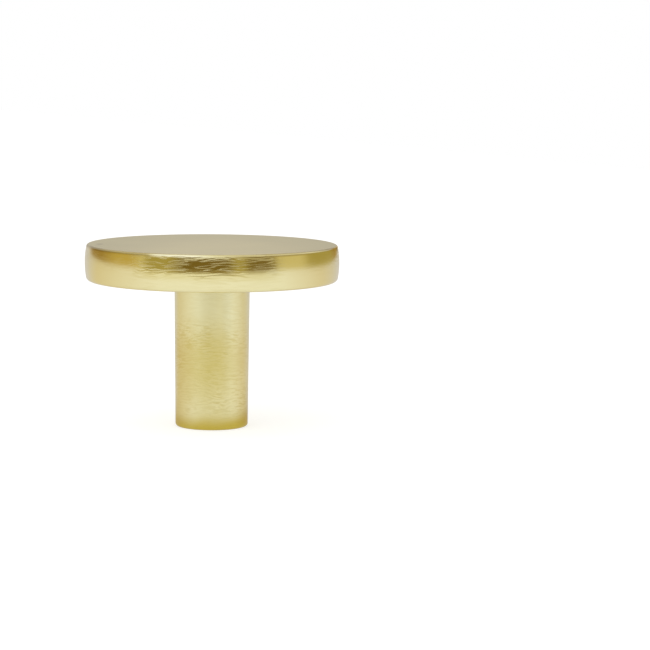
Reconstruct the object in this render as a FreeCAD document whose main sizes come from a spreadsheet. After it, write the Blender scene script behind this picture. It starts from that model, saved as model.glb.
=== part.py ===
import FreeCAD, Part
import math
import os
import Sketcher
from FreeCAD import Vector

# A cabinet knob turned in one piece from solid brass: a flat round head with a
# softly crowned rim, on a slim round stem that narrows a little towards its foot.
# The foot seats on the door or drawer front, and a blind hole in it, tapped
# M4 x 0.7, takes the fixing screw.
#
# The origin is the centre of the foot. +Z runs out of the furniture, up the stem,
# to the face of the head. Lengths are in millimetres and angles in degrees.

# The driving dimensions: alias, value and what it measures.
DIMENSIONS = [
    ("knob_height", 25.2, "from the foot of the stem to the face of the head"),
    ("head_diameter", 35.0, "across the fullest part of the rim"),
    ("head_thickness", 5.0, "from the back of the head to its face"),
    ("rim_crown_radius", 12.0, "section radius of the crowned rim"),
    ("face_edge_radius", 0.35, "rounding between the face and the rim"),
    ("back_edge_radius", 0.6, "rounding between the rim and the back"),
    ("stem_head_diameter", 10.4, "across the stem where it meets the head"),
    ("stem_foot_diameter", 10.0, "across the stem at its foot"),
    ("stem_root_radius", 0.5, "hollow corner between the stem and the head"),
    ("foot_edge_radius", 0.4, "rounding round the foot"),
    ("tap_drill_diameter", 3.3, "across the hole drilled for the thread"),
    ("tap_drill_depth", 14.0, "full-width depth of that hole"),
    ("drill_point_angle", 118.0, "angle of the cone that the drill leaves"),
    ("hole_mouth_diameter", 4.4, "across the countersink that leads the screw in"),
    ("hole_mouth_angle", 90.0, "angle of that countersink"),
]

PARTS_FOLDER = "parts"
HEIGHT_MATCH = 1e-4     # how near to a height an edge has to lie to be found there


def make_sheet(doc):
    """The spreadsheet of driving dimensions, one to a row."""
    sheet = doc.addObject("Spreadsheet::Sheet", "Dimensions")
    for row, (alias, value, meaning) in enumerate(DIMENSIONS, start=1):
        sheet.set(f"A{row}", alias)
        sheet.set(f"B{row}", str(value))
        sheet.set(f"C{row}", meaning)
        sheet.setAlias(f"B{row}", alias)
    doc.recompute()
    return sheet


def origin_plane(body, role):
    """One of the body's own three origin planes."""
    for feature in body.Origin.OriginFeatures:
        if feature.Role == role:
            return feature
    raise ValueError(f"{body.Label} has no {role}")


def sketch_on(body, role, name):
    """An empty sketch on one of the body's origin planes."""
    sketch = body.newObject("Sketcher::SketchObject", name)
    sketch.AttachmentSupport = [(origin_plane(body, role), "")]
    sketch.MapMode = "FlatFace"
    return sketch


def drive(sketch, name, constraint, expression):
    """Adds a dimension to a sketch and binds it to the sheet."""
    index = sketch.addConstraint(constraint)
    sketch.renameConstraint(index, name)
    sketch.setExpression(f"Constraints.{name}", expression)


def edge_arc(sheet, crown_centre, radius, side):
    """The rounding of the head's edge on its face's side (1) or its back's (-1).

    It starts on the flat of the back or on the rim, and runs anticlockwise.
    """
    half_thickness = sheet.head_thickness / 2
    from_crown_centre = sheet.rim_crown_radius - radius
    rise = half_thickness - radius
    run = math.sqrt(from_crown_centre ** 2 - rise ** 2)
    centre = crown_centre + Vector(run, rise * side, 0)
    on_flat = centre + Vector(0, radius * side, 0)
    on_rim = centre + Vector(run, rise * side, 0) * (radius / from_crown_centre)
    halfway = centre + (on_flat + on_rim - centre * 2).normalize() * radius
    if side < 0:
        return Part.Arc(on_flat, halfway, on_rim)
    return Part.Arc(on_rim, halfway, on_flat)


def draw_half_section(body, sheet):
    """Half of the knob's section, from the axis out, as the lathe would follow it."""
    half_thickness = sheet.head_thickness / 2
    crown_centre = Vector(
        sheet.head_diameter / 2 - sheet.rim_crown_radius,
        sheet.knob_height - half_thickness,
        0,
    )
    back_edge_arc = edge_arc(sheet, crown_centre, sheet.back_edge_radius, -1)
    face_edge_arc = edge_arc(sheet, crown_centre, sheet.face_edge_radius, 1)

    centre_of_foot = Vector(0, 0, 0)
    foot_corner = Vector(sheet.stem_foot_diameter / 2, 0, 0)
    stem_root = Vector(sheet.stem_head_diameter / 2, sheet.knob_height - sheet.head_thickness, 0)
    centre_of_face = Vector(0, sheet.knob_height, 0)
    fullest_point = crown_centre + Vector(sheet.rim_crown_radius, 0, 0)
    rim_arc = Part.Arc(back_edge_arc.EndPoint, fullest_point, face_edge_arc.StartPoint)

    sketch = sketch_on(body, "XZ_Plane", "half_section")
    foot = sketch.addGeometry(Part.LineSegment(centre_of_foot, foot_corner))
    stem = sketch.addGeometry(Part.LineSegment(foot_corner, stem_root))
    back = sketch.addGeometry(Part.LineSegment(stem_root, back_edge_arc.StartPoint))
    back_edge = sketch.addGeometry(back_edge_arc)
    rim = sketch.addGeometry(rim_arc)
    face_edge = sketch.addGeometry(face_edge_arc)
    face = sketch.addGeometry(Part.LineSegment(face_edge_arc.EndPoint, centre_of_face))
    axis = sketch.addGeometry(Part.LineSegment(centre_of_face, centre_of_foot))
    fullest = sketch.addGeometry(Part.Point(fullest_point), True)

    # Point numbers within an element: 1 its start, 2 its end, 3 an arc's centre.
    # Element -1 is the horizontal axis, and its point 1 is the sketch's origin.
    for pair in [
        (foot, 1, -1, 1),
        (foot, 2, stem, 1),
        (stem, 2, back, 1),
        (face, 2, axis, 1),
        (axis, 2, foot, 1),
    ]:
        sketch.addConstraint(Sketcher.Constraint("Coincident", *pair))
    for pair in [
        (back, 2, back_edge, 1),
        (back_edge, 2, rim, 1),
        (rim, 2, face_edge, 1),
        (face_edge, 2, face, 1),
    ]:
        sketch.addConstraint(Sketcher.Constraint("Tangent", *pair))
    for element in (foot, back, face):
        sketch.addConstraint(Sketcher.Constraint("Horizontal", element))
    sketch.addConstraint(Sketcher.Constraint("Vertical", axis))
    sketch.addConstraint(Sketcher.Constraint("PointOnObject", fullest, 1, rim))
    sketch.addConstraint(Sketcher.Constraint("Horizontal", fullest, 1, rim, 3))

    drive(
        sketch, "knob_height",
        Sketcher.Constraint("DistanceY", -1, 1, face, 2, sheet.knob_height),
        "Dimensions.knob_height",
    )
    drive(
        sketch, "head_thickness",
        Sketcher.Constraint("DistanceY", back, 2, face, 1, sheet.head_thickness),
        "Dimensions.head_thickness",
    )
    drive(
        sketch, "fullest_height",
        Sketcher.Constraint("DistanceY", back, 2, fullest, 1, half_thickness),
        "Dimensions.head_thickness / 2",
    )
    drive(
        sketch, "head_reach",
        Sketcher.Constraint("DistanceX", -1, 1, fullest, 1, sheet.head_diameter / 2),
        "Dimensions.head_diameter / 2",
    )
    drive(
        sketch, "rim_crown_radius",
        Sketcher.Constraint("Radius", rim, sheet.rim_crown_radius),
        "Dimensions.rim_crown_radius",
    )
    drive(
        sketch, "back_edge_radius",
        Sketcher.Constraint("Radius", back_edge, sheet.back_edge_radius),
        "Dimensions.back_edge_radius",
    )
    drive(
        sketch, "face_edge_radius",
        Sketcher.Constraint("Radius", face_edge, sheet.face_edge_radius),
        "Dimensions.face_edge_radius",
    )
    drive(
        sketch, "stem_reach_at_foot",
        Sketcher.Constraint("DistanceX", -1, 1, foot, 2, sheet.stem_foot_diameter / 2),
        "Dimensions.stem_foot_diameter / 2",
    )
    drive(
        sketch, "stem_reach_at_head",
        Sketcher.Constraint("DistanceX", -1, 1, stem, 2, sheet.stem_head_diameter / 2),
        "Dimensions.stem_head_diameter / 2",
    )
    return sketch


def turn_blank(doc, body, section):
    """The solid that the half section sweeps out in one turn about the stem's axis."""
    blank = body.newObject("PartDesign::Revolution", "turned_blank")
    blank.Profile = section
    blank.ReferenceAxis = (section, ["V_Axis"])
    blank.Angle = 360
    section.Visibility = False
    doc.recompute()
    return blank


def rings_at(feature, height):
    """The feature's full circular edges at that height, the smallest first."""
    found = []
    for number, edge in enumerate(feature.Shape.Edges, start=1):
        if not isinstance(edge.Curve, Part.Circle) or len(edge.Vertexes) > 1:
            continue
        if abs(edge.Curve.Center.z - height) < HEIGHT_MATCH:
            found.append((edge.Curve.Radius, f"Edge{number}"))
    return [name for radius, name in sorted(found)]


def round_ring(doc, body, base, name, ring, size):
    """Rounds one ring edge of the base to a radius from the sheet."""
    rounding = body.newObject("PartDesign::Fillet", name)
    rounding.Base = (base, [ring])
    rounding.setExpression("Radius", f"Dimensions.{size}")
    doc.recompute()
    return rounding


def drill_screw_hole(doc, body):
    """The blind hole up the stem's axis, countersunk at the foot, drilled for its thread."""
    place = sketch_on(body, "XY_Plane", "hole_centre")
    sheet = doc.getObject("Dimensions")
    hole_edge = Part.Circle(Vector(0, 0, 0), Vector(0, 0, 1), sheet.tap_drill_diameter / 2)
    circle = place.addGeometry(hole_edge)
    place.addConstraint(Sketcher.Constraint("Coincident", circle, 3, -1, 1))
    drive(
        place, "tap_drill_diameter",
        Sketcher.Constraint("Diameter", circle, sheet.tap_drill_diameter),
        "Dimensions.tap_drill_diameter",
    )
    place.Visibility = False
    doc.recompute()

    hole = body.newObject("PartDesign::Hole", "screw_hole")
    hole.Profile = place
    doc.recompute()
    hole.Reversed = True        # up into the stem, along +Z
    hole.DepthType = "Dimension"
    hole.DrillPoint = "Angled"
    hole.HoleCutType = "Countersink"
    hole.setExpression("Diameter", "Dimensions.tap_drill_diameter")
    hole.setExpression("Depth", "Dimensions.tap_drill_depth")
    hole.setExpression("DrillPointAngle", "Dimensions.drill_point_angle")
    hole.setExpression("HoleCutDiameter", "Dimensions.hole_mouth_diameter")
    hole.setExpression("HoleCutCountersinkAngle", "Dimensions.hole_mouth_angle")
    doc.recompute()
    return hole


def make_knob(doc, sheet):
    """The whole knob as one body: turned, the stem's two corners rounded, then drilled."""
    body = doc.addObject("PartDesign::Body", "knob")
    body.Label = "knob"
    section = draw_half_section(body, sheet)
    blank = turn_blank(doc, body, section)

    back_height = sheet.knob_height - sheet.head_thickness
    root_ring = rings_at(blank, back_height)[0]
    stem_root = round_ring(doc, body, blank, "stem_root", root_ring, "stem_root_radius")
    foot_ring = rings_at(stem_root, 0)[-1]
    round_ring(doc, body, stem_root, "foot_edge", foot_ring, "foot_edge_radius")

    body.Tip = drill_screw_hole(doc, body)
    doc.recompute()
    return body


def check_document(doc, pieces):
    """Stops unless every object was worked out and every piece is one sound solid."""
    for item in doc.Objects:
        if "Invalid" in item.State or "Error" in item.State:
            raise RuntimeError(f"{item.Label} failed: {item.State}")
        if item.isDerivedFrom("Sketcher::SketchObject") and not item.FullyConstrained:
            raise RuntimeError(f"{item.Label} is not fully constrained")
    for piece in pieces:
        if piece.Shape.isNull() or not piece.Shape.isValid() or len(piece.Shape.Solids) != 1:
            raise RuntimeError(f"{piece.Label} is not one valid solid")


def export_pieces(pieces):
    """Writes each piece to a file named after it."""
    os.makedirs(PARTS_FOLDER, exist_ok=True)
    for piece in pieces:
        piece.Shape.exportStep(os.path.join(PARTS_FOLDER, f"{piece.Label}.step"))
        extent = piece.Shape.optimalBoundingBox()
        print(
            f"{piece.Label}: {extent.XLength:.2f} x {extent.YLength:.2f} x "
            f"{extent.ZLength:.2f} mm, {piece.Shape.Volume:.1f} mm3"
        )


def main():
    doc = FreeCAD.newDocument("CabinetKnob")
    sheet = make_sheet(doc)
    pieces = [make_knob(doc, sheet)]
    doc.recompute()
    check_document(doc, pieces)
    export_pieces(pieces)


main()
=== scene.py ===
import math
from collections import namedtuple

import bmesh
import bpy
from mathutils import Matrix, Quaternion, Vector


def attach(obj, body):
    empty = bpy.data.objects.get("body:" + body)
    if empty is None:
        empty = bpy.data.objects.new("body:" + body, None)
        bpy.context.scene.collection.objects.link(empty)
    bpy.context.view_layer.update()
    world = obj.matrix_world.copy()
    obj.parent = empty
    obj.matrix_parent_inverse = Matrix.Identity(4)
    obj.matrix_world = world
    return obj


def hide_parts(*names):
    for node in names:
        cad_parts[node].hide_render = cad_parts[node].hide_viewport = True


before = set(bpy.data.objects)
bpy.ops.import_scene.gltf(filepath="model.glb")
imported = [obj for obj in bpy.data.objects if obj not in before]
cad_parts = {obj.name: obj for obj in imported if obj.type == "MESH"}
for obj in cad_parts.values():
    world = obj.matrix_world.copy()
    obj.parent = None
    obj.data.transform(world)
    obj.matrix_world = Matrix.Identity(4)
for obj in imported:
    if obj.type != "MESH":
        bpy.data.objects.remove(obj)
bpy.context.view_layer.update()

# A cabinet knob in brushed brass, standing on its foot on a pale table under soft studio
# light. The knob is turned again here from the section of the solid, with its screw hole
# tapped, and gets the finish of each of its surfaces.

# Lengths in the tables below are in millimetres, and heights are above the foot. X runs to
# the camera's right, and Y away from the camera.

MM = 0.001

# The section of the head and the stem, as in the solid.
KNOB_HEIGHT = 25.2
HEAD_RADIUS = 17.5
HEAD_THICKNESS = 5.0
RIM_CROWN_RADIUS = 12.0
FACE_EDGE_RADIUS = 0.35
BACK_EDGE_RADIUS = 0.6
STEM_RADIUS_AT_HEAD = 5.2
STEM_RADIUS_AT_FOOT = 5.0
STEM_ROOT_RADIUS = 0.5
FOOT_EDGE_RADIUS = 0.4
BACK_HEIGHT = KNOB_HEIGHT - HEAD_THICKNESS

# The screw hole and its M4 x 0.7 thread.
HOLE_RADIUS = 1.65
HOLE_DEPTH = 14.0
HOLE_MOUTH_RADIUS = 2.2
DRILL_POINT_ANGLE = 118.0
THREAD_RADIUS = 2.0
THREAD_PITCH = 0.7
THREAD_CREST = 0.19             # width of the flat left between two grooves
THREAD_ROOT = 0.106             # width of the flat at the bottom of a groove
THREAD_START = 0.4
THREAD_END = 12.6
THREAD_TURNS = 20
MOUTH_DEPTH = 0.15              # where the countersink meets the thread
RUN_OUT = 0.4                   # from the last of the thread to the plain wall

LATHE_STEPS = 180
THREAD_STEPS = 96
EDGE_STEPS = 14
CROWN_STEPS = 18
STEM_RINGS = (0.03, 0.5, 0.97)  # shares of the way up the stem
HOLDING_WIDTH = 0.06            # a narrow ring beside each rounding keeps the flats flat
SAME_POINT = 1e-7               # in metres
SHARP_ANGLE = 30.0
LEVEL = 0.99                    # a face lies level if its normal rises more than this

# What the camera saw: the table's height is 0 and the knob stands at the origin.
CAMERA_DISTANCE = 350.0
CAMERA_PITCH = 5.95             # degrees down
CAMERA_ROLL = 0.55
CAMERA_LENS = 140.4
CAMERA_CLIP_START = 10.0
AIM_HEIGHT = 18.2               # a point on the knob's axis...
AIM_RIGHT = 15.6                # ...and how far beside and below it the camera looks
AIM_DOWN = 4.12

LAMP_PLACE = (-200.0, -250.0, 500.0)
LAMP_SIZE = 500.0
LAMP_POWER = 0.6                # in watts

TABLE_HALF_WIDTH = 1500.0
TABLE_FRONT = -250.0
TABLE_SIDE = 440.0              # from the knob to its right side...
TABLE_SIDE_ANGLE = 115.0        # ...which lies this way round the knob

# Colours are linear red, green, blue and alpha. These are the brass:
BRASS = (0.86, 0.785, 0.45, 1)
# Painted sheen: a paler brass for the stem's upper part, mirroring the lit table.
PALE_SHEEN_BRASS = (0.87, 0.82, 0.50, 1)
# The face's colour away from a place at its front: darker.
DARKER_FACE_BRASS = (0.72, 0.665, 0.38, 1)
# A deeper gold, mostly painted shade mirrored in the stem and the rim.
DEEP_SHADE_BRASS = (0.70, 0.585, 0.20, 1)
# Painted shade: the dark band round the foot.
FOOT_SHADE_BRASS = (0.65, 0.50, 0.09, 1)
# Painted shade: a dark brass for the line along the face's front edge and the rounding below it.
EDGE_SHADE_BRASS = (0.30, 0.20, 0.03, 1)
# Painted highlight on the rounding at the front of the face's edge.
HIGHLIGHT_BRASS = (0.93, 0.88, 0.62, 1)
CUT_BRASS = (0.80, 0.68, 0.36, 1)
FLAW = (0.16, 0.11, 0.04, 1)

# The table, and what is added to it as the camera sees it and as the brass mirrors it.
TABLE_WHITE = (0.45, 0.45, 0.45, 1)
CAMERA_GLOW = (0.70, 0.70, 0.70, 1)
# In the brass the table glows darker and warmer to the sides and beyond: painted shade and a
# painted warm bounce from the brass.
NEAR_GLOW = (0.490, 0.507, 0.542, 1)    # in front of the knob
LEFT_GLOW = (0.312, 0.236, 0.080, 1)
RIGHT_GLOW = (0.337, 0.271, 0.165, 1)
FAR_GLOW = (0.257, 0.236, 0.265, 1)     # beyond the knob

# The room.
WHITE = (1, 1, 1, 1)
CEILING = (1.0, 1.0, 0.98, 1)
WINDOW = (1.0, 1.0, 0.97, 1)
DIM_CORNER = (0.195, 0.13, 0.025, 1)
OCHRE_WALL = (0.42, 0.34, 0.10, 1)
WARM_WALL = (0.56, 0.41, 0.10, 1)
WARM_CORNER = (0.36, 0.23, 0.05, 1)
PALE_WALL = (0.67, 0.58, 0.29, 1)
SHADED_WALL = (0.45, 0.385, 0.22, 1)
LIT_WALL = (0.70, 0.63, 0.42, 1)
SIDE_WALL = (0.70, 0.66, 0.65, 1)
WARM_SIDE_WALL = (0.66, 0.545, 0.40, 1)
FAR_WALL = (0.56, 0.527, 0.502, 1)
FAR_CORNER = (0.478, 0.448, 0.43, 1)

# The room by degrees round the knob: 0 is behind the camera, and 90 is to its right.
LOWER_WALLS = (
    (-180, FAR_WALL),
    (-166, FAR_CORNER),
    (-150, SIDE_WALL),
    (-138, WARM_CORNER),
    (-120, WARM_CORNER),
    (-95, WARM_WALL),
    (-77, WARM_WALL),
    (-67, PALE_WALL),
    (-60, OCHRE_WALL),
    (-40, OCHRE_WALL),
    (-26, DIM_CORNER),
    (15, DIM_CORNER),
    (22, OCHRE_WALL),
    (27, OCHRE_WALL),
    (34, DIM_CORNER),
    (56, DIM_CORNER),
    (62, PALE_WALL),
    (88, PALE_WALL),
    (100, OCHRE_WALL),
    (134, OCHRE_WALL),
    (146, WARM_CORNER),
    (160, WARM_CORNER),
    (168, WARM_SIDE_WALL),
    (175, FAR_CORNER),
    (180, FAR_WALL),
)
UPPER_WALLS = (
    (-180, FAR_WALL),
    (-140, FAR_WALL),
    (-110, SHADED_WALL),
    (-76, SHADED_WALL),
    (-36, WINDOW),
    (12, WINDOW),
    (34, LIT_WALL),
    (54, LIT_WALL),
    (64, SHADED_WALL),
    (110, SHADED_WALL),
    (140, FAR_WALL),
    (180, FAR_WALL),
)
# The table's glow in the brass, with painted shade and painted warm bounce to the sides and
# beyond.
TABLE_TONES = (
    (-180, FAR_GLOW),
    (-148, FAR_GLOW),
    (-122, LEFT_GLOW),
    (-40, NEAR_GLOW),
    (58, NEAR_GLOW),
    (112, RIGHT_GLOW),
    (148, FAR_GLOW),
    (180, FAR_GLOW),
)

# A ramp is a row of four: where it starts and ends, and its value at the start and the end.

# In degrees above the knob's own height: the table's light on the walls, the upper walls
# and the ceiling.
TABLE_LIGHT = (-5.5, 1.5, 0.45, 0.0)
UPPER_WALLS_START = (14.5, 18.0, 0.0, 1.0)
CEILING_STARTS = (20.0, 42.0, 0.0, 1.0)

# In heights: where the finish of the stem turns into that of the head.
HEAD_STARTS = (19.3, 20.6, 0.0, 1.0)

# The brushed strokes run round the axis. Features are counted to a metre, and in pairs: along
# the strokes and across them.
SWAY_FEATURES = 170.0
STEM_SWAY = 2.2
HEAD_SWAY = 0.8
SWIRL_FEATURES = 600.0
SWIRL = 0.5
SWIRL_BY_X = (-7.0, -4.5, 1.0, 0.15)
RIPPLE_FEATURES = (210.0, 2700.0)
RIPPLE_WAVES = 24.0             # radians within the range of the noise
DASH_FEATURES = (800.0, 5600.0)
DASH_ROUGHNESS = 0.6
DASH_BY_NOISE = (0.40, 0.66, 0.0, 1.0)
STEM_RELIEF = 0.0021
HEAD_RELIEF = 0.0032

# How hard the brush was pressed, as a share.
PATCH_FEATURES = 150.0
PRESSURE_BY_PATCH = (0.35, 0.60, 0.45, 1.0)
GAP_FEATURES = 420.0
PRESSURE_BY_GAP = (0.40, 0.60, 0.65, 1.20)
RIM_MIDDLE = -0.7               # the rim's strokes lie on both sides of this X
PRESSURE_ASIDE = (8.0, 11.0, 1.0, 0.3)
PRESSURE_UP_RIM = (21.8, 23.2, 0.5, 1.0)
PRESSURE_UP_STEM = (12.5, 16.0, 1.0, 0.5)
PRESSURE_AT_FOOT = (1.5, 4.0, 0.4, 1.0)

# Where the brass is deeper: a darker patch on the stem, left of its middle, and painted shade,
# standing for shade mirrored in the stem's lower part and middle and in a band along the rim.
# A darker patch on the front of the stem, left of the middle.
DARK_PATCH_PLACE = (-1.6, -4.7, 9.6)
DARK_PATCH_REACH = (7.5, 1.5)
DARK_PATCH_BY_X = (-5.2, -2.0, 0.38, 0.50)
# Painted shade: deeper towards the stem's lower part, and down its middle.
LOWER_STEM_SHADE = (17.5, 11.0, 0.0, 0.19)
STEM_MIDDLE = 0.4
STEM_MIDDLE_SHADE = (0.6, 3.0, 0.24, 0.0)
# Painted shade: a deeper band along the rim's middle.
RIM_BAND_SHADE_FROM = (21.2, 22.5, 0.0, 0.50)
RIM_BAND_SHADE_TO = (22.9, 23.3, 1.0, 0.0)
RIM_BAND_SHADE_ASIDE = (7.0, 11.0, 1.0, 0.0)
# Painted sheen: the strokes are painted lighter and darker, as they would catch the light.
STROKE_SHEEN = (0.0, 1.0, -0.2, 0.2)
# Painted sheen: paler towards the stem's upper part.
UPPER_STEM_SHEEN = (10.0, 16.0, 0.0, 1.0)

# The dark band round the foot, painted shade for the shaded table that the foot mirrors: its
# height wavers, and rises to the right.
FOOT_WAVER = 2.0
FOOT_SLOPE = -0.12
FOOT_BAND = (3.7, 1.4, 0.0, 1.0)
FOOT_OUTSIDE = (4.2, 4.8, 0.3, 1.0)

# How rough the brass is, and where the rim is more so.
STEM_ROUGHNESS = 0.22
BACK_ROUGHNESS = 0.26
RIM_ROUGHNESS = 0.10
RIM_END_ROUGHNESS = 0.065       # more, at the ends
RIM_STARTS = (16.0, 17.0, 0.0, 1.0)
LEFT_END = (-8.0, -11.0, 0.0, 1.0)
RIGHT_END = (2.5, 8.0, 0.0, 1.0)
SCORED_STROKES = (0.6, 1.0, 0.0, 1.0)
SCORED_ROUGHNESS = (0.0, 1.0, 0.04, 0.22)       # from the stem to the head

# The face's satin: its grain, and how its colour turns darker away from a place at the front.
FACE_GRAIN_FEATURES = 5000.0
FACE_GRAIN_RELIEF = 0.004
FACE_ROUGHNESS = 0.28
FACE_BRIGHT_PLACE = (1.0, -12.0, KNOB_HEIGHT)
FACE_BRIGHT_REACH = (18.0, 3.0)
FACE_BRIGHT_STRETCH = 2.0
CLOUD_FEATURES = 130.0
CLOUD_TONE = (0.35, 0.65, 0.1, -0.1)

# The marks of the drill and the tap.
CUT_FEATURES = (300.0, 9000.0)
CUT_ROUGHNESS = (0.3, 0.7, 0.22, 0.36)

# The thin dark line along the front of the face, a painted dark reflection, by distance from the
# axis.
# It is narrow in the middle and wider to the left, and comes and goes by X, Y and height.
LINE_START = (16.88, 16.97, 0.0, 1.0)
NARROW_LINE_END = (17.13, 17.23, 0.0, 1.0)
WIDE_LINE_END = (17.24, 17.34, 0.0, 1.0)
LINE_WIDENS = (-7.0, -9.0, 0.0, 1.0)
LINE_BY_Y = (-3.2, -6.0, 0.2, 1.0)
LINE_ASIDE = (4.5, 7.0, 0.45, 0.7)
LINE_BY_HEIGHT = (24.0, 24.8, 0.0, 1.0)

# The rounding below that line: a painted highlight left of the middle, and painted shade right of
# it.
BEAD_START = (17.12, 17.20, 0.0, 1.0)
BEAD_BY_HEIGHT = (24.7, 24.9, 0.0, 1.0)
BEAD_BY_Y = (-6.0, -10.0, 0.0, 1.0)
HIGHLIGHT_FROM = (-8.8, -7.0, 0.0, 1.0)
HIGHLIGHT_TO = (-3.0, 1.2, 1.0, 0.0)
BEAD_SHADE_FROM = (-2.2, 4.0, 0.0, 0.38)
BEAD_SHADE_TO = (11.0, 14.0, 1.0, 0.0)

# Small flaws in the finish: where they are, their outer and inner reach, how strong they
# are, and how far they are drawn out along Y. The last is a faint smudge on the face.
FLAWS = (
    ((-17.2, -1.8, 25.1), (0.33, 0.099), 0.45, 1.0),
    ((17.1, -3.2, 24.9), (0.60, 0.18), 0.75, 1.0),
    ((-15.4, -1.35, 25.2), (0.70, 0.20), 0.25, 3.0),
)

# A spot on the knob, as a material finds it: its place, X, Y and height, and its distance
# from the axis.
Spot = namedtuple("Spot", "place x y height radius")


def add_node(tree, kind, inputs=None, **settings):
    """A node with its settings, and with its inputs set or joined to another node's output."""
    node = tree.nodes.new(kind)
    for name, value in settings.items():
        setattr(node, name, value)
    for name, value in (inputs or {}).items():
        if isinstance(value, bpy.types.NodeSocket):
            tree.links.new(value, node.inputs[name])
        else:
            node.inputs[name].default_value = value
    return node


def mix_colours(tree, share, first, second):
    """The first colour, turning into the second as the share goes from 0 to 1."""
    mix = tree.nodes.new("ShaderNodeMix")
    mix.data_type = "RGBA"
    sockets = {
        "Factor_Float": share,
        "A_Color": first,
        "B_Color": second,
    }
    for socket in mix.inputs:
        if socket.identifier in sockets:
            value = sockets[socket.identifier]
            if isinstance(value, bpy.types.NodeSocket):
                tree.links.new(value, socket)
            else:
                socket.default_value = value
    return [socket for socket in mix.outputs if socket.identifier == "Result_Color"][0]


def mix_numbers(tree, share, first, second):
    """The first number, turning into the second as the share goes from 0 to 1."""
    inputs = {"Factor": share, "A": first, "B": second}
    return add_node(tree, "ShaderNodeMix", inputs).outputs["Result"]


def arithmetic(tree, operation, *values):
    """The result of a Math node on those values."""
    inputs = dict(enumerate(values))
    return add_node(tree, "ShaderNodeMath", inputs, operation=operation).outputs[0]


def product(tree, first, *others):
    """The values multiplied together."""
    for other in others:
        first = arithmetic(tree, "MULTIPLY", first, other)
    return first


def total(tree, first, *others):
    """The values added up."""
    for other in others:
        first = arithmetic(tree, "ADD", first, other)
    return first


def clamped(tree, value):
    """The value, held between 0 and 1."""
    return add_node(tree, "ShaderNodeClamp", {"Value": value}).outputs[0]


def graded(tree, value, ramp):
    """The smooth change of a ramp while the value goes from its start to its end."""
    start, end, at_start, at_end = ramp
    inputs = {
        "Value": value, "From Min": start, "From Max": end, "To Min": at_start, "To Max": at_end,
    }
    node = add_node(tree, "ShaderNodeMapRange", inputs, interpolation_type="SMOOTHSTEP")
    return node.outputs["Result"]


def graded_mm(tree, length, ramp):
    """The same for a length in metres, on a ramp in millimetres."""
    start, end, at_start, at_end = ramp
    return graded(tree, length, (start * MM, end * MM, at_start, at_end))


# The pen below draws the knob's section in the plane of X and Z.

def draw_line(bm, pen, radius, height):
    """A straight line from the pen to that distance from the axis and that height."""
    end = bm.verts.new((radius * MM, 0, height * MM))
    bm.edges.new((pen, end))
    return end


def draw_arc(bm, pen, radius, start_angle, end_angle, steps):
    """An arc from the pen, whose angles are seen from its centre: 0 outwards, 90 up."""
    start = math.radians(start_angle)
    centre = pen.co - Vector((math.cos(start), 0, math.sin(start))) * radius * MM
    drawn = bmesh.ops.spin(
        bm, geom=[pen], cent=centre, axis=(0, -1, 0), dvec=(0, 0, 0),
        angle=math.radians(end_angle - start_angle), steps=steps,
    )
    return [part for part in drawn["geom_last"] if isinstance(part, bmesh.types.BMVert)][0]


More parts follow.
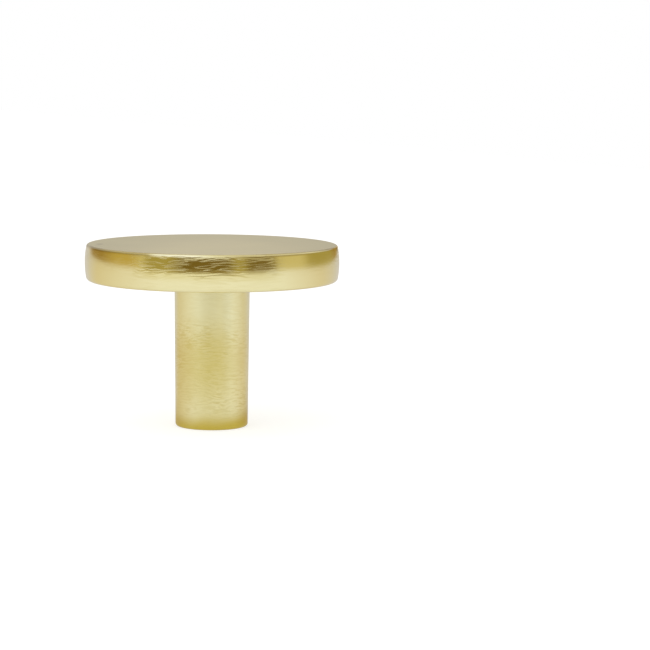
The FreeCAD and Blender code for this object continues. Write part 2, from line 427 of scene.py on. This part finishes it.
def draw_outside(bm):
    """The section from the hole's mouth, round the foot, stem and head, to the face's centre."""
    taper = math.degrees(math.atan2(STEM_RADIUS_AT_HEAD - STEM_RADIUS_AT_FOOT, BACK_HEIGHT))
    slope = math.tan(math.radians(taper))
    lean = 1 / math.cos(math.radians(taper))
    foot_flat = STEM_RADIUS_AT_FOOT - FOOT_EDGE_RADIUS * (lean - slope)
    root_height = BACK_HEIGHT - STEM_ROOT_RADIUS
    root_start = STEM_RADIUS_AT_FOOT + root_height * slope + STEM_ROOT_RADIUS * (lean - 1)

    half_thickness = HEAD_THICKNESS / 2
    back_rise = half_thickness - BACK_EDGE_RADIUS
    face_rise = half_thickness - FACE_EDGE_RADIUS
    back_turn = math.asin(back_rise / (RIM_CROWN_RADIUS - BACK_EDGE_RADIUS))
    face_turn = math.asin(face_rise / (RIM_CROWN_RADIUS - FACE_EDGE_RADIUS))
    back_flat = (
        HEAD_RADIUS - RIM_CROWN_RADIUS
        + (RIM_CROWN_RADIUS - BACK_EDGE_RADIUS) * math.cos(back_turn)
    )
    low, high = -math.degrees(back_turn), math.degrees(face_turn)

    pen = bm.verts.new(((HOLE_MOUTH_RADIUS - MOUTH_DEPTH) * MM, 0, MOUTH_DEPTH * MM))
    pen = draw_line(bm, pen, HOLE_MOUTH_RADIUS, 0)
    pen = draw_line(bm, pen, HOLE_MOUTH_RADIUS + HOLDING_WIDTH, 0)
    pen = draw_line(bm, pen, foot_flat - HOLDING_WIDTH, 0)
    pen = draw_line(bm, pen, foot_flat, 0)
    pen = draw_arc(bm, pen, FOOT_EDGE_RADIUS, -90, -taper, EDGE_STEPS)
    for share in STEM_RINGS:
        height = FOOT_EDGE_RADIUS + (root_height - FOOT_EDGE_RADIUS) * share
        pen = draw_line(bm, pen, STEM_RADIUS_AT_FOOT + height * slope, height)
    pen = draw_line(bm, pen, root_start, root_height)
    pen = draw_arc(bm, pen, STEM_ROOT_RADIUS, 180 - taper, 90, EDGE_STEPS)
    pen = draw_line(bm, pen, pen.co.x / MM + HOLDING_WIDTH, BACK_HEIGHT)
    pen = draw_line(bm, pen, back_flat - HOLDING_WIDTH, BACK_HEIGHT)
    pen = draw_line(bm, pen, back_flat, BACK_HEIGHT)
    pen = draw_arc(bm, pen, BACK_EDGE_RADIUS, -90, low, EDGE_STEPS)
    pen = draw_arc(bm, pen, RIM_CROWN_RADIUS, low, high, CROWN_STEPS)
    pen = draw_arc(bm, pen, FACE_EDGE_RADIUS, high, 90, EDGE_STEPS)
    pen = draw_line(bm, pen, pen.co.x / MM - HOLDING_WIDTH, KNOB_HEIGHT)
    draw_line(bm, pen, 0, KNOB_HEIGHT)


def draw_hole_end(bm):
    """The section of the plain end of the hole, from the thread to the drill's point."""
    point_depth = HOLE_RADIUS / math.tan(math.radians(DRILL_POINT_ANGLE / 2))
    pen = bm.verts.new((HOLE_RADIUS * MM, 0, (THREAD_END + RUN_OUT) * MM))
    pen = draw_line(bm, pen, HOLE_RADIUS, HOLE_DEPTH)
    draw_line(bm, pen, 0, HOLE_DEPTH + point_depth)


def turn_section(bm):
    """Turns the drawn section once round the axis, as a lathe would."""
    bmesh.ops.spin(
        bm, geom=bm.verts[:] + bm.edges[:], cent=(0, 0, 0), axis=(0, 0, 1), dvec=(0, 0, 0),
        angle=math.tau, steps=LATHE_STEPS, use_merge=True,
    )
    bmesh.ops.remove_doubles(bm, verts=bm.verts[:], dist=SAME_POINT)


def cut_thread(bm):
    """The wall of the tapped hole: one groove wound up the hole, right-handed."""
    flank = (THREAD_PITCH - THREAD_CREST - THREAD_ROOT) / 2
    height = -THREAD_PITCH * 2
    pen = bm.verts.new((HOLE_RADIUS * MM, 0, height * MM))
    for radius, step in (
        (HOLE_RADIUS, THREAD_CREST),
        (THREAD_RADIUS, flank),
        (THREAD_RADIUS, THREAD_ROOT),
        (HOLE_RADIUS, flank),
    ):
        height += step
        pen = draw_line(bm, pen, radius, height)
    bmesh.ops.spin(
        bm, geom=bm.verts[:] + bm.edges[:], cent=(0, 0, 0), axis=(0, 0, 1),
        dvec=(0, 0, THREAD_PITCH * MM / THREAD_STEPS), angle=math.tau, steps=THREAD_STEPS,
    )
    first_turn = bm.verts[:] + bm.edges[:] + bm.faces[:]
    for turn in range(1, THREAD_TURNS):
        copy = bmesh.ops.duplicate(bm, geom=first_turn)["geom"]
        points = [part for part in copy if isinstance(part, bmesh.types.BMVert)]
        bmesh.ops.translate(bm, verts=points, vec=(0, 0, THREAD_PITCH * turn * MM))
    bmesh.ops.remove_doubles(bm, verts=bm.verts[:], dist=SAME_POINT)
    for height, side in ((THREAD_START, -1), (THREAD_END, 1)):
        cut_away(bm, Vector((0, 0, height)), Vector((0, 0, side)))


def cut_away(bm, place, direction):
    """Cuts off what lies past a place in a direction."""
    bmesh.ops.bisect_plane(
        bm, geom=bm.verts[:] + bm.edges[:] + bm.faces[:], dist=SAME_POINT,
        plane_co=place * MM, plane_no=direction, clear_outer=True,
    )


def open_edges(bm, low, high):
    """The edges of open rims between two heights."""
    return [
        edge for edge in bm.edges
        if edge.is_boundary and all(low * MM < point.co.z < high * MM for point in edge.verts)
    ]


def add_mesh(target, source):
    """Adds one bmesh to another."""
    mesh = bpy.data.meshes.new("scratch")
    source.to_mesh(mesh)
    source.free()
    target.from_mesh(mesh)
    bpy.data.meshes.remove(mesh)


def new_object(name, bm, materials):
    """A new object in the scene, with its mesh and materials."""
    mesh = bpy.data.meshes.new(name)
    bm.to_mesh(mesh)
    bm.free()
    for material in materials:
        mesh.materials.append(material)
    thing = bpy.data.objects.new(name, mesh)
    bpy.context.scene.collection.objects.link(thing)
    return thing


def make_knob(outside, top, bore):
    """The whole knob, with its hole drilled, countersunk and tapped, in its three finishes."""
    bm = bmesh.new()
    draw_outside(bm)
    draw_hole_end(bm)
    turn_section(bm)
    thread = bmesh.new()
    cut_thread(thread)
    add_mesh(bm, thread)
    between = (THREAD_START + THREAD_END) / 2
    for low, high in ((0, between), (between, HOLE_DEPTH)):
        bmesh.ops.bridge_loops(bm, edges=open_edges(bm, low, high))
    bmesh.ops.recalc_face_normals(bm, faces=bm.faces[:])

    finishes = [outside, top, bore]
    for face in bm.faces:
        face.smooth = True
        middle = face.calc_center_median() / MM
        on_head = middle.z > BACK_HEIGHT
        if math.hypot(middle.x, middle.y) < HOLE_MOUTH_RADIUS and not on_head:
            face.material_index = finishes.index(bore)
        elif face.normal.z > LEVEL and on_head:
            face.material_index = finishes.index(top)
        else:
            face.material_index = finishes.index(outside)
    for edge in bm.edges:
        edge.smooth = edge.calc_face_angle(0) < math.radians(SHARP_ANGLE)

    knob = new_object("brass_knob", bm, finishes)
    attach(knob, "root")
    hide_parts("knob")


def new_material(name):
    """An empty material, with its output node."""
    material = bpy.data.materials.new(name)
    material.use_nodes = True
    tree = material.node_tree
    tree.nodes.clear()
    return material, tree, tree.nodes.new("ShaderNodeOutputMaterial")


def spot_on_knob(tree):
    """The spot that a material of the knob is asked for."""
    place = add_node(tree, "ShaderNodeTexCoord").outputs["Object"]
    xyz = add_node(tree, "ShaderNodeSeparateXYZ", {0: place}).outputs
    flat = add_node(tree, "ShaderNodeCombineXYZ", {"X": xyz["X"], "Y": xyz["Y"]}).outputs[0]
    radius = add_node(tree, "ShaderNodeVectorMath", {0: flat}, operation="LENGTH").outputs["Value"]
    return Spot(place, xyz["X"], xyz["Y"], xyz["Z"], radius)


def scaled(tree, place, factors):
    """A place with its X, Y and Z multiplied by those factors."""
    inputs = {0: place, 1: factors}
    return add_node(tree, "ShaderNodeVectorMath", inputs, operation="MULTIPLY").outputs[0]


def noise(tree, place, features, detail, roughness=0.5):
    """Soft noise round one half, with that many features to a unit of the place."""
    inputs = {"Vector": place, "Scale": features, "Detail": detail, "Roughness": roughness}
    return add_node(tree, "ShaderNodeTexNoise", inputs).outputs["Fac"]


def stroke_noise(tree, place, features, detail, roughness=0.5):
    """Noise drawn out round the axis, with features counted along it and across."""
    along, across = features
    return noise(tree, scaled(tree, place, (along, along, across)), 1.0, detail, roughness)


def away_from(tree, length, middle):
    """How far a length is from a middle in millimetres, to either side."""
    return arithmetic(tree, "ABSOLUTE", arithmetic(tree, "SUBTRACT", length, middle * MM))


def reach(tree, place, centre, radii, stretch=1.0):
    """How near a place is to a centre: 0 at the outer radius, 1 at the inner one."""
    outer, inner = radii
    x, y, z = centre
    drawn_in = scaled(tree, place, (1.0, 1 / stretch, 1.0))
    inputs = {0: drawn_in, 1: Vector((x, y / stretch, z)) * MM}
    away = add_node(tree, "ShaderNodeVectorMath", inputs, operation="DISTANCE").outputs["Value"]
    return graded_mm(tree, away, (outer, inner, 0.0, 1.0))


def edged(tree, spot, colour):
    """The colour with the painted dark line, and the painted highlight and shade on the rounding,
    at the front of the face's edge.
    """
    narrow = graded_mm(tree, spot.radius, NARROW_LINE_END)
    wide = graded_mm(tree, spot.radius, WIDE_LINE_END)
    line_end = mix_numbers(tree, graded_mm(tree, spot.x, LINE_WIDENS), narrow, wide)
    line_start = graded_mm(tree, spot.radius, LINE_START)
    line = product(
        tree, arithmetic(tree, "SUBTRACT", line_start, line_end),
        graded_mm(tree, spot.y, LINE_BY_Y),
        graded_mm(tree, away_from(tree, spot.x, 0.0), LINE_ASIDE),
        graded_mm(tree, spot.height, LINE_BY_HEIGHT),
    )
    bead = product(
        tree, graded_mm(tree, spot.radius, BEAD_START),
        graded_mm(tree, spot.height, BEAD_BY_HEIGHT),
        graded_mm(tree, spot.y, BEAD_BY_Y),
    )
    bright, bead_shade = (
        product(tree, bead, graded_mm(tree, spot.x, start), graded_mm(tree, spot.x, end))
        for start, end in ((HIGHLIGHT_FROM, HIGHLIGHT_TO), (BEAD_SHADE_FROM, BEAD_SHADE_TO))
    )
    # A painted dark reflection on the line, then a painted highlight and painted shade on the
    # rounding.
    colour = mix_colours(tree, line, colour, EDGE_SHADE_BRASS)
    colour = mix_colours(tree, bright, colour, HIGHLIGHT_BRASS)
    return mix_colours(tree, bead_shade, colour, EDGE_SHADE_BRASS)


def flawed(tree, spot, colour):
    """The colour with the small flaws at the head's ends."""
    for centre, radii, strength, stretch in FLAWS:
        share = product(tree, reach(tree, spot.place, centre, radii, stretch), strength)
        colour = mix_colours(tree, share, colour, FLAW)
    return colour


def brush_strokes(tree, spot, on_head):
    """How high the strokes stand, from 0 to 1: long ripples on the head, dashes on the stem."""
    sway = product(
        tree, noise(tree, spot.place, SWAY_FEATURES, 1.0),
        mix_numbers(tree, on_head, STEM_SWAY * MM, HEAD_SWAY * MM),
    )
    swirl = product(
        tree, noise(tree, spot.place, SWIRL_FEATURES, 0.0), SWIRL * MM,
        graded_mm(tree, spot.x, SWIRL_BY_X),
    )
    up_or_in = arithmetic(tree, "SUBTRACT", spot.height, spot.radius)
    swayed = add_node(
        tree, "ShaderNodeCombineXYZ",
        {"X": spot.x, "Y": spot.y, "Z": total(tree, up_or_in, sway, swirl)},
    ).outputs[0]
    sweep = stroke_noise(tree, swayed, RIPPLE_FEATURES, 1.0)
    waves = arithmetic(tree, "SINE", product(tree, sweep, RIPPLE_WAVES))
    ripples = arithmetic(tree, "MULTIPLY_ADD", waves, 0.5, 0.5)
    dashes = stroke_noise(tree, swayed, DASH_FEATURES, 2.0, DASH_ROUGHNESS)
    return mix_numbers(tree, on_head, graded(tree, dashes, DASH_BY_NOISE), ripples)


def brush_pressure(tree, spot, on_head, patches):
    """How hard the brush was pressed."""
    on_rim = product(
        tree, graded_mm(tree, away_from(tree, spot.x, RIM_MIDDLE), PRESSURE_ASIDE),
        graded_mm(tree, spot.height, PRESSURE_UP_RIM),
    )
    on_stem = product(
        tree, graded_mm(tree, spot.height, PRESSURE_UP_STEM),
        graded_mm(tree, spot.height, PRESSURE_AT_FOOT),
        graded(tree, noise(tree, spot.place, GAP_FEATURES, 1.0), PRESSURE_BY_GAP),
    )
    by_surface = mix_numbers(tree, on_head, on_stem, on_rim)
    return product(tree, by_surface, graded(tree, patches, PRESSURE_BY_PATCH))


def brushed_tone(tree, spot, on_head, patches, stroke_sheen):
    """The colour of the brushed brass with its painted shade and sheen, before its edge and its
    flaws.
    """
    # A darker patch on the stem, left of the middle.
    dark_patch = product(
        tree, reach(tree, spot.place, DARK_PATCH_PLACE, DARK_PATCH_REACH), graded_mm(tree, spot.x, DARK_PATCH_BY_X),
    )
    # Painted shade down the stem's middle.
    stem_middle_shade = product(
        tree, graded_mm(tree, away_from(tree, spot.x, STEM_MIDDLE), STEM_MIDDLE_SHADE),
        arithmetic(tree, "SUBTRACT", 1.0, on_head),
    )
    # Painted shade in a band along the rim's middle.
    rim_band_shade = product(
        tree, graded_mm(tree, spot.height, RIM_BAND_SHADE_FROM), graded_mm(tree, spot.height, RIM_BAND_SHADE_TO),
        graded_mm(tree, away_from(tree, spot.x, RIM_MIDDLE), RIM_BAND_SHADE_ASIDE),
    )
    # Painted shade on the stem's lower part.
    lower_stem_shade = graded_mm(tree, spot.height, LOWER_STEM_SHADE)
    deep = clamped(tree, total(tree, dark_patch, lower_stem_shade, stem_middle_shade, rim_band_shade, stroke_sheen))
    # Painted sheen: paler on the stem's upper part.
    upper_stem_sheen = arithmetic(
        tree, "SUBTRACT", graded_mm(tree, spot.height, UPPER_STEM_SHEEN), on_head,
    )
    uneven_height = total(
        tree, spot.height, product(tree, patches, FOOT_WAVER * MM),
        product(tree, spot.x, FOOT_SLOPE),
    )
    # Painted shade: a dark band round the foot.
    foot = product(
        tree, graded_mm(tree, uneven_height, FOOT_BAND),
        graded_mm(tree, spot.radius, FOOT_OUTSIDE),
    )
    colour = mix_colours(tree, upper_stem_sheen, BRASS, PALE_SHEEN_BRASS)
    colour = mix_colours(tree, deep, colour, DEEP_SHADE_BRASS)
    return mix_colours(tree, foot, colour, FOOT_SHADE_BRASS)


def brushed_roughness(tree, spot, on_head, strokes, pressure):
    """How rough the brushed brass is: smoothest on the rim, and rougher along its strokes."""
    at_ends = arithmetic(
        tree, "MAXIMUM", graded_mm(tree, spot.x, LEFT_END), graded_mm(tree, spot.x, RIGHT_END),
    )
    rim = arithmetic(tree, "MULTIPLY_ADD", at_ends, RIM_END_ROUGHNESS, RIM_ROUGHNESS)
    on_rim = graded_mm(tree, spot.radius, RIM_STARTS)
    head = mix_numbers(tree, on_rim, BACK_ROUGHNESS, rim)
    scored = product(
        tree, graded(tree, strokes, SCORED_STROKES), pressure,
        graded(tree, on_head, SCORED_ROUGHNESS),
    )
    return total(tree, mix_numbers(tree, on_head, STEM_ROUGHNESS, head), scored)


def metal(tree, output, inputs):
    """Joins a metal with those inputs to the material's output."""
    shader = add_node(tree, "ShaderNodeBsdfPrincipled", {"Metallic": 1.0, **inputs})
    tree.links.new(shader.outputs[0], output.inputs["Surface"])


def brushed_brass():
    """Brass brushed round the axis by hand, in short wavering strokes."""
    material, tree, output = new_material("brushed_brass")
    spot = spot_on_knob(tree)
    on_head = graded_mm(tree, spot.height, HEAD_STARTS)
    patches = noise(tree, spot.place, PATCH_FEATURES, 1.0)
    strokes = brush_strokes(tree, spot, on_head)
    pressure = brush_pressure(tree, spot, on_head, patches)
    relief = graded(tree, on_head, (0.0, 1.0, STEM_RELIEF * MM, HEAD_RELIEF * MM))
    bump = add_node(
        tree, "ShaderNodeBump", {"Height": strokes, "Strength": pressure, "Distance": relief},
    ).outputs["Normal"]
    # Painted sheen along the strokes.
    stroke_sheen = product(tree, graded(tree, strokes, STROKE_SHEEN), pressure)
    colour = brushed_tone(tree, spot, on_head, patches, stroke_sheen)
    metal(tree, output, {
        "Base Color": flawed(tree, spot, edged(tree, spot, colour)),
        "Roughness": brushed_roughness(tree, spot, on_head, strokes, pressure),
        "Normal": bump,
    })
    return material


def satin_brass():
    """The even satin of the knob's face."""
    material, tree, output = new_material("satin_brass")
    spot = spot_on_knob(tree)
    grain = noise(tree, spot.place, FACE_GRAIN_FEATURES, 2.0)
    bump = add_node(
        tree, "ShaderNodeBump",
        {"Height": grain, "Strength": 1.0, "Distance": FACE_GRAIN_RELIEF * MM},
    ).outputs["Normal"]
    bright = reach(tree, spot.place, FACE_BRIGHT_PLACE, FACE_BRIGHT_REACH, FACE_BRIGHT_STRETCH)
    clouds = graded(tree, noise(tree, spot.place, CLOUD_FEATURES, 2.0), CLOUD_TONE)
    bright = clamped(tree, total(tree, bright, clouds))
    colour = mix_colours(tree, bright, DARKER_FACE_BRASS, BRASS)
    metal(tree, output, {
        "Base Color": flawed(tree, spot, edged(tree, spot, colour)),
        "Roughness": FACE_ROUGHNESS,
        "Normal": bump,
    })
    return material


def bored_brass():
    """Bare cut brass inside the screw hole."""
    material, tree, output = new_material("bored_brass")
    marks = stroke_noise(tree, spot_on_knob(tree).place, CUT_FEATURES, 2.0)
    metal(tree, output, {
        "Base Color": CUT_BRASS,
        "Roughness": graded(tree, marks, CUT_ROUGHNESS),
    })
    return material


def tones_round(tree, place, tones):
    """The tone that lies in the direction of a place from the knob, by its degrees round it."""
    xyz = add_node(tree, "ShaderNodeSeparateXYZ", {0: place}).outputs
    toward_camera = arithmetic(tree, "MULTIPLY", xyz["Y"], -1.0)
    angle = arithmetic(tree, "ARCTAN2", xyz["X"], toward_camera)
    turn = arithmetic(tree, "MULTIPLY_ADD", angle, 1 / math.tau, 0.5)
    node = add_node(tree, "ShaderNodeValToRGB", {0: turn})
    ramp = node.color_ramp
    while len(ramp.elements) < len(tones):
        ramp.elements.new(0.5)
    for element, (degrees, tone) in zip(ramp.elements, tones):
        element.position = degrees / 360 + 0.5
        element.color = tone
    return node.outputs[0]


def white_table():
    """White with a shadow. It shows white to the camera; in the brass it glows with painted shade
    and a painted warm bounce to the sides and beyond.
    """
    material, tree, output = new_material("white_table")
    place = add_node(tree, "ShaderNodeTexCoord").outputs["Object"]
    path = add_node(tree, "ShaderNodeLightPath").outputs
    mirrored = arithmetic(tree, "MAXIMUM", path["Is Glossy Ray"], path["Is Transmission Ray"])
    seen = arithmetic(tree, "MAXIMUM", mirrored, path["Is Camera Ray"])
    # Painted shade and warm bounce, as the brass mirrors the table.
    in_brass = tones_round(tree, place, TABLE_TONES)
    colour = mix_colours(tree, path["Is Camera Ray"], in_brass, CAMERA_GLOW)
    matt = add_node(tree, "ShaderNodeBsdfDiffuse", {"Color": TABLE_WHITE}).outputs[0]
    glow = add_node(tree, "ShaderNodeEmission", {"Color": colour, "Strength": seen}).outputs[0]
    both = add_node(tree, "ShaderNodeAddShader", {0: matt, 1: glow}).outputs[0]
    clear = add_node(tree, "ShaderNodeBsdfTransparent").outputs[0]
    under = add_node(tree, "ShaderNodeNewGeometry").outputs["Backfacing"]
    top_only = add_node(tree, "ShaderNodeMixShader", {0: under, 1: both, 2: clear}).outputs[0]
    tree.links.new(top_only, output.inputs["Surface"])
    return material


def lay_table():
    """A white table top, which ends in front of the knob and aslant to its right."""
    bm = bmesh.new()
    bmesh.ops.create_grid(bm, x_segments=1, y_segments=1, size=TABLE_HALF_WIDTH * MM)
    behind = TABLE_FRONT + TABLE_HALF_WIDTH
    bmesh.ops.translate(bm, verts=bm.verts[:], vec=(0, behind * MM, 0))
    angle = math.radians(TABLE_SIDE_ANGLE)
    to_side = Vector((math.sin(angle), -math.cos(angle), 0))
    cut_away(bm, to_side * TABLE_SIDE, to_side)
    new_object("table", bm, [white_table()])


def above(tree, rise, ramp):
    """A ramp in degrees of height, for a direction whose rise is the sine of its angle."""
    low, high, at_low, at_high = ramp
    sines = math.sin(math.radians(low)), math.sin(math.radians(high))
    return graded(tree, rise, (*sines, at_low, at_high))


def light_room():
    """A warm, dim room with a window and a bright ceiling, and plain white to the camera."""
    world = bpy.data.worlds.new("room")
    bpy.context.scene.world = world
    world.use_nodes = True
    tree = world.node_tree
    tree.nodes.clear()
    output = tree.nodes.new("ShaderNodeOutputWorld")
    direction = add_node(tree, "ShaderNodeTexCoord").outputs["Generated"]
    rise = add_node(tree, "ShaderNodeSeparateXYZ", {0: direction}).outputs["Z"]
    tone = tones_round(tree, direction, LOWER_WALLS)
    tone = mix_colours(tree, above(tree, rise, TABLE_LIGHT), tone, PALE_WALL)
    upper = tones_round(tree, direction, UPPER_WALLS)
    tone = mix_colours(tree, above(tree, rise, UPPER_WALLS_START), tone, upper)
    tone = mix_colours(tree, above(tree, rise, CEILING_STARTS), tone, CEILING)
    room = add_node(tree, "ShaderNodeBackground", {"Color": tone}).outputs[0]
    plain = add_node(tree, "ShaderNodeBackground", {"Color": WHITE}).outputs[0]
    to_camera = add_node(tree, "ShaderNodeLightPath").outputs["Is Camera Ray"]
    shown = add_node(tree, "ShaderNodeMixShader", {0: to_camera, 1: room, 2: plain})
    tree.links.new(shown.outputs[0], output.inputs["Surface"])


def hang_softbox():
    """One large soft lamp overhead, for the shadow under the knob, unseen in the brass."""
    lamp = bpy.data.lights.new("softbox", "AREA")
    lamp.shape = "DISK"
    lamp.size = LAMP_SIZE * MM
    lamp.energy = LAMP_POWER
    softbox = bpy.data.objects.new("softbox", lamp)
    softbox.location = Vector(LAMP_PLACE) * MM
    softbox.rotation_mode = "QUATERNION"
    softbox.rotation_quaternion = softbox.location.to_track_quat("Z", "Y")
    softbox.visible_glossy = False
    bpy.context.scene.collection.objects.link(softbox)


def place_camera():
    """The camera where it stood: a little above the knob, which is left of the middle."""
    pitch = math.radians(CAMERA_PITCH)
    back = Vector((0, -math.cos(pitch), math.sin(pitch)))
    up = Vector((0, math.sin(pitch), math.cos(pitch)))
    on_axis = Vector((0, 0, AIM_HEIGHT * MM))
    aim = on_axis + Vector((AIM_RIGHT * MM, 0, 0)) - up * AIM_DOWN * MM
    data = bpy.data.cameras.new("camera")
    data.lens = CAMERA_LENS
    data.clip_start = CAMERA_CLIP_START * MM
    camera = bpy.data.objects.new("camera", data)
    camera.location = on_axis + back * CAMERA_DISTANCE * MM
    level = (aim - camera.location).to_track_quat("-Z", "Y")
    camera.rotation_mode = "QUATERNION"
    camera.rotation_quaternion = level @ Quaternion((0, 0, 1), math.radians(CAMERA_ROLL))
    bpy.context.scene.collection.objects.link(camera)
    bpy.context.scene.camera = camera


bpy.context.scene.view_settings.view_transform = "Standard"
make_knob(brushed_brass(), satin_brass(), bored_brass())
lay_table()
light_room()
hang_softbox()
place_camera()
